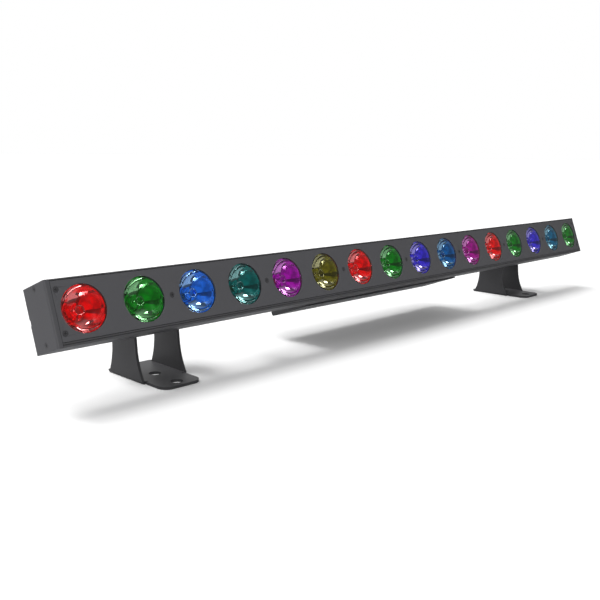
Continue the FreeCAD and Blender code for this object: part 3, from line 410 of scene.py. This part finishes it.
def lit_cup(colour_name):
    """The cup behind a lens: glossy plastic painted with its LED's coloured light in uneven patches and
    glowing with it, though it is no lamp, with painted shade at its four legs.
    """
    material, tree, output = new_material(f"cup_in_{colour_name}_light")
    colour = linear(LIGHT_COLOURS[colour_name])
    place = add_node(tree, "ShaderNodeTexCoord")
    axes = add_node(tree, "ShaderNodeSeparateXYZ", {"Vector": place.outputs["Object"]})
    turn = add_node(tree, "ShaderNodeMath", {0: axes.outputs["Z"], 1: axes.outputs["X"]},
                    operation="ARCTAN2")
    fourfold = add_node(tree, "ShaderNodeMath", {0: turn.outputs[0], 1: LEG_COUNT, 2: LEG_TURN},
                        operation="MULTIPLY_ADD")
    wave = add_node(tree, "ShaderNodeMath", {"Value": fourfold.outputs[0]}, operation="COSINE")
    # Where the painted shade of the four legs falls.
    leg_shade_mask = add_node(tree, "ShaderNodeMapRange",
                   {"Value": wave.outputs[0], "From Min": 0.78, "From Max": 0.88})
    patches = add_node(tree, "ShaderNodeTexNoise",
                       {"Vector": place.outputs["Object"], "Scale": 1 / (6 * MM), "Detail": 1.0})
    uneven = add_node(tree, "ShaderNodeMapRange",
                      {"Value": patches.outputs["Fac"], "From Min": 0.35, "From Max": 0.65})
    # Painted light: the LED's colour on the cup, from half to full strength in uneven patches.
    deep = [c * 0.5 for c in colour[:3]] + [1.0]
    wash = add_node(tree, "ShaderNodeMix", {"Factor": uneven.outputs[0], "A": deep, "B": colour},
                    data_type="RGBA")
    # Painted shade on the legs: a fifth of the LED's colour over a near-black.
    painted_leg_shade = [0.006 + c * 0.2 for c in colour[:3]] + [1.0]
    legs = add_node(tree, "ShaderNodeMix",
                    {"Factor": leg_shade_mask.outputs[0], "A": wash.outputs["Result"], "B": painted_leg_shade}, data_type="RGBA")
    # Painted light: the cup glows with its painted LED colour and leg shade, though it is no lamp.
    cup = add_node(tree, "ShaderNodeBsdfPrincipled", {
        "Base Color": legs.outputs["Result"], "Roughness": 0.3, "Coat Weight": 0.25, "Coat Roughness": 0.1,
        "Emission Color": legs.outputs["Result"], "Emission Strength": 0.75})
    tree.links.new(cup.outputs[0], output.inputs["Surface"])
    return material


# The cup follows the cone at a small gap, then folds back outside to stand on the board.
CUP_GAP = 0.5
cup_profile = [(cone_radius(depth) + CUP_GAP, depth) for depth in (4.3, 7, 10, 13, 16, 18.5, 20.4)]
cup_profile += [
    (7.6, 22.2), (5.3, 22.3), (5.3, 24.6), (14.4, 24.9), (14.4, 14.2), (18.6, 8.6), (21.6, 4.3),
]
lens_meshes = {}
cup_meshes = {}
for colour_name in LIGHT_COLOURS:
    lens_meshes[colour_name] = turned(f"acrylic_{colour_name}", lens_profile)
    lens_meshes[colour_name].materials.append(tinted_acrylic(colour_name))
    cup_meshes[colour_name] = turned(f"cup_{colour_name}", cup_profile, closed=True)
    cup_meshes[colour_name].materials.append(lit_cup(colour_name))

lens_spots = []
for number, colour_name in enumerate(LENS_ORDER, start=1):
    (low, high), = solids_of(f"lens_{number:02d}")
    lens_spots.append(BAR @ Matrix.Translation(((low.x + high.x) / 2, 0, 0)))
    lens = new_object(f"lens_{number:02d}_acrylic", lens_meshes[colour_name])
    lens.matrix_world = lens_spots[-1]
    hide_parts(f"lens_{number:02d}")
    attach(lens, "head")
    cup = new_object(f"lens_{number:02d}_cup", cup_meshes[colour_name])
    cup.matrix_world = lens_spots[-1]
    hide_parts("lens_holders")
    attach(cup, "head")


# ---- LEDs and their boards --------------------------------------------------------------------------
# Four-in-one emitters: a pale ceramic square with four dies under clear silicone, soldered to long
# aluminium-core boards with white solder mask.

def joined(name, parts):
    """One mesh from several (mesh, matrix) pairs, with their materials kept in order."""
    shape = bmesh.new()
    materials = []
    for mesh, place in parts:
        copy = mesh.copy()
        copy.transform(place)
        if copy.materials[0] not in materials:
            materials.append(copy.materials[0])
        before = len(shape.faces)
        shape.from_mesh(copy)
        shape.faces.ensure_lookup_table()
        for face in shape.faces[before:]:
            face.material_index = materials.index(copy.materials[0])
        bpy.data.meshes.remove(copy)
    made = bpy.data.meshes.new(name)
    shape.to_mesh(made)
    shape.free()
    for material in materials:
        made.materials.append(material)
    return made


def block(name, low, high, material, edge=0.1):
    """A bevelled box between two corners in millimetres."""
    shape = bmesh.new()
    bmesh.ops.create_cube(shape, size=1)
    for vertex in shape.verts:
        vertex.co = Vector([(low[i] + (high[i] - low[i]) * (vertex.co[i] + 0.5)) * MM for i in range(3)])
    bmesh.ops.bevel(shape, geom=shape.edges[:], offset=edge * MM, segments=2, affect="EDGES")
    mesh = bpy.data.meshes.new(name)
    shape.to_mesh(mesh)
    shape.free()
    mesh.materials.append(material)
    return mesh


# Pressed alumina: chalky off-white.
ceramic = grained("emitter_ceramic", "#d8d2c0",
                  grain=0.4 * MM, roughness=0.45, relief=0.01 * MM)
# Phosphor under clear silicone: wet-looking yellow.
die_silicone = grained("emitter_die_under_silicone", "#d9b84a",
                       grain=0.3 * MM, roughness=0.12, relief=0.01 * MM, coat=1.0)
emitter_low, emitter_high = solids_of("led_emitters")[0]
emitter_size = (emitter_high - emitter_low) / MM
package = block("emitter_package", (-emitter_size.x / 2, 0.25, -emitter_size.z / 2),
                (emitter_size.x / 2, emitter_size.y, emitter_size.z / 2), ceramic)
DIE_HALF = 0.7
DIE_DEPTH = 0.3
DIE_PLACE = 0.95
dies = [
    block("emitter_die", (x - DIE_HALF, 0, z - DIE_HALF),
          (x + DIE_HALF, DIE_DEPTH, z + DIE_HALF), die_silicone)
    for x in (-DIE_PLACE, DIE_PLACE) for z in (-DIE_PLACE, DIE_PLACE)
]
emitter_parts = []
for low, high in solids_of("led_emitters"):
    seat = Matrix.Translation(((low.x + high.x) / 2, low.y, (low.z + high.z) / 2))
    emitter_parts.append((package, seat))
    emitter_parts += [(die, seat) for die in dies]
emitters = new_object("led_emitter_packages", joined("led_emitter_packages", emitter_parts))
emitters.matrix_world = BAR
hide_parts("led_emitters")
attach(emitters, "head")
# Printed solder mask: flat, slightly warm white.
white_mask = grained("white_solder_mask", "#d9d8d2",
                     grain=0.5 * MM, roughness=0.4, relief=0.01 * MM)
for number in range(1, 5):
    finish(f"led_board_{number}", white_mask, edge=0.1 * MM)


# ---- screws -----------------------------------------------------------------------------------------
# Pan heads with a pressed cross: painted with the panel and the caps, black zinc on the driver box and
# sockets, bright zinc on the saddles.  Every head has a rounded shoulder and stands on its own shank.

# Black passivated zinc: nearly black, with a dull metal glint.
black_zinc = grained("black_zinc_plate", "#202022",
                     grain=0.5 * MM, roughness=0.38, relief=0.01 * MM, metallic=0.6)
# Paint over the head: the grey of the panel, a little darker.
painted_head = grained("panel_screw_paint", "#3c3c3e",
                       grain=0.5 * MM, roughness=0.5, relief=0.01 * MM)
# Bright zinc: cool, pale and softly mirrored.
bright_zinc = grained("bright_zinc_plate", "#b4b6b8",
                      grain=0.6 * MM, roughness=0.32, relief=0.01 * MM, metallic=1.0, spread=0.1)


def screw(head_radius, head_height, length, shank_radius, material):
    """A cross-head screw along y, its head's top at y = 0."""
    drive = head_radius * 0.58
    profile = [
        (0, 0.75 * head_height), (drive * 0.5, 0.7 * head_height, 0.4), (drive, 0.12 * head_height, 0.3),
        (drive * 1.05, 0.02 * head_height, 0.32), (head_radius * 0.75, 0),
        (head_radius * 0.93, 0.12 * head_height), (head_radius, 0.4 * head_height),
        (head_radius, head_height), (shank_radius, head_height),
        (shank_radius, length * 0.97), (shank_radius * 0.7, length), (0, length),
    ]
    mesh = turned("screw", profile, steps=48)
    mesh.materials.append(material)
    return mesh


def place_screws(node, material, head_height, shank_radius, facing):
    """Puts a screw on each solid of a CAD node; facing gives the way its head looks, from its box."""
    parts = []
    for low, high in solids_of(node):
        axis, way = facing(low, high)
        others = [i for i in range(3) if i != axis]
        middle = (low + high) / 2
        head_radius = max((high[i] - low[i]) / 2 for i in others) / MM
        top = middle.copy()
        top[axis] = high[axis] if way > 0 else low[axis]
        length = (high[axis] - low[axis]) / MM
        inward = Vector([-way if i == axis else 0 for i in range(3)])
        stand = Vector((0, 1, 0)).rotation_difference(inward).to_matrix().to_4x4()
        made_screw = screw(head_radius, head_height, length, shank_radius, material)
        parts.append((made_screw, Matrix.Translation(top) @ stand))
    made = new_object(f"{node}_cross_heads", joined(node, parts))
    made.matrix_world = BAR
    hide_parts(node)
    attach(made, "head")


def outward(low, high):
    """Screws driven in from an end look along x, away from the bar's middle."""
    return 0, 1 if low.x > 0 else -1


place_screws("front_panel_screws", painted_head,
             head_height=1.2, shank_radius=1.4, facing=lambda low, high: (1, -1))
place_screws("end_cap_screws", painted_head,
             head_height=1.2, shank_radius=1.4, facing=outward)
place_screws("driver_box_screws", black_zinc,
             head_height=1.6, shank_radius=1.4, facing=lambda low, high: (1, 1))
place_screws("socket_screws", black_zinc,
             head_height=1.6, shank_radius=1.4, facing=outward)
place_screws("saddle_screws", bright_zinc,
             head_height=3.0, shank_radius=2.4, facing=lambda low, high: (1, 1))


# ---- standoffs and gaskets --------------------------------------------------------------------------
# Milled aluminium posts take the panel's middle screws, and a moulded rubber frame seals each cap.

# Milled aluminium: pale silver, with faint lines from the cutter.
milled = grained("milled_aluminium", "#c2c3c5",
                 grain=0.3 * MM, roughness=0.3, relief=0.01 * MM, metallic=1.0, stretch=(1, 6, 1))
finish("panel_standoffs", milled, edge=0.2 * MM)
# Moulded rubber: matt black that hardly reflects.
rubber = grained("moulded_rubber", "#2a2a2b",
                 grain=0.6 * MM, roughness=0.8, relief=0.03 * MM)
finish("end_gaskets", rubber, edge=0.2 * MM)


# ---- driver box -------------------------------------------------------------------------------------
# A folded steel cover and two folded ends behind the bar's middle, powder coated like the housing.

# The same fine-textured coat as the housing, in a deeper black.
box_coat = grained("driver_box_powder_coat", "#343436",
                   grain=0.6 * MM, roughness=0.48, relief=0.03 * MM)
finish("driver_box_cover", box_coat, edge=0.3 * MM)
for side in ("left", "right"):
    finish(f"driver_box_end_{side}", box_coat, edge=0.2 * MM)


# ---- power supply, control board and wires ----------------------------------------------------------
# Hidden in the box: a slotted pressed-aluminium supply, a green board with its parts, and a sleeved loom.

# Pressed aluminium sheet: mid grey with lines from rolling.
pressed = grained("pressed_aluminium", "#a9abae",
                  grain=0.5 * MM, roughness=0.36, relief=0.01 * MM, metallic=1.0, stretch=(8, 1, 1))
finish("power_supply", pressed, edge=0.4 * MM)
# Printed solder mask: glossy green with cloudy patches, as over copper.
green_mask = grained("green_solder_mask", "#14522a",
                     grain=0.8 * MM, roughness=0.35, relief=0.02 * MM, coat=0.4, spread=0.3)
finish("control_board", green_mask, edge=0.1 * MM)
# Braided polyester: matt black, broken up by its weave.
sleeve = grained("braided_wire_sleeve", "#1b1b1c",
                 grain=0.9 * MM, roughness=0.65, relief=0.08 * MM, stretch=(1, 1, 3), spread=0.4)
finish("led_harness", sleeve)


# ---- display and buttons ----------------------------------------------------------------------------
# A dark window over the display's black frame, and four moulded buttons beside it, all unlit.

# Moulded nylon: black with a fine dull grain.
nylon = grained("black_moulded_nylon", "#1c1c1d",
                grain=0.5 * MM, roughness=0.5, relief=0.03 * MM)
finish("display_module", nylon, edge=0.15 * MM)
# Smoked acrylic: black and glossy, as the display behind it is unlit.
window = grained("smoked_display_window", "#0a0a0f",
                 grain=2 * MM, roughness=0.08, relief=0.002 * MM, coat=1.0)
finish("display_window", window, edge=0.3 * MM)
# Moulded ABS: plain mid grey with a low gloss.
button_plastic = grained("grey_moulded_button", "#4c4d50",
                         grain=0.5 * MM, roughness=0.4, relief=0.02 * MM)
for number in range(1, 5):
    finish(f"menu_button_{number}", button_plastic, edge=0.3 * MM)


# ---- sockets ----------------------------------------------------------------------------------------
# Locking mains connectors in blue and grey nylon, and five-pole data connectors in satin nickel with a
# pressed-steel release tab.

# Dyed nylon: strong blue with a low gloss.
blue_nylon = grained("blue_moulded_nylon", "#1d4fa0",
                     grain=0.5 * MM, roughness=0.42, relief=0.02 * MM)
finish("power_in_socket", blue_nylon, edge=0.25 * MM)
# Dyed nylon: pale grey with a low gloss.
grey_nylon = grained("grey_moulded_nylon", "#9a9c9e",
                     grain=0.5 * MM, roughness=0.42, relief=0.02 * MM)
finish("power_out_socket", grey_nylon, edge=0.25 * MM)
# Satin nickel plate: warm silver with a soft reflection.
nickel = grained("satin_nickel", "#b9b6ae",
                 grain=0.4 * MM, roughness=0.3, relief=0.01 * MM, metallic=1.0, spread=0.1)
for side in ("in", "out"):
    finish(f"data_{side}_socket", nickel, edge=0.2 * MM)
# Rolled spring steel: cool grey, with lines from rolling.
spring_steel = grained("pressed_spring_steel", "#a5a6a8",
                       grain=0.4 * MM, roughness=0.28, relief=0.01 * MM, metallic=1.0, stretch=(1, 5, 1))
finish("data_release_tab", spring_steel, edge=0.15 * MM)


# ---- saddles, washers and knobs ---------------------------------------------------------------------
# Folded steel saddles bolted to the bar's back carry the pivots; nylon washers give them their drag, and
# scalloped nylon knobs clamp them.

# Satin powder coat on steel: near black, so folds show as a thin pale line.
bracket_coat = grained("satin_bracket_powder_coat", "#3a3a3c",
                       grain=0.6 * MM, roughness=0.5, relief=0.02 * MM)
for side in ("left", "right"):
    finish(f"saddle_{side}", bracket_coat, edge=0.4 * MM)
finish("safety_lug", bracket_coat, edge=0.5 * MM)
finish("pivot_washers", nylon, edge=0.3 * MM)
# Moulded nylon with a coarser grain, so the knobs look duller than the washers.
knob_nylon = grained("knob_moulded_nylon", "#222223",
                     grain=0.7 * MM, roughness=0.45, relief=0.05 * MM)
for number in range(1, 5):
    finish(f"tilt_knob_{number}", knob_nylon, edge=1.2 * MM)


# ---- floor brackets ---------------------------------------------------------------------------------
# Each is one 3 mm steel sheet, folded into two waisted legs, with two clamp holes in its base, under the
# same satin black coat as the saddles.

for side in ("left", "right"):
    finish(f"floor_bracket_{side}", bracket_coat, edge=0.4 * MM)
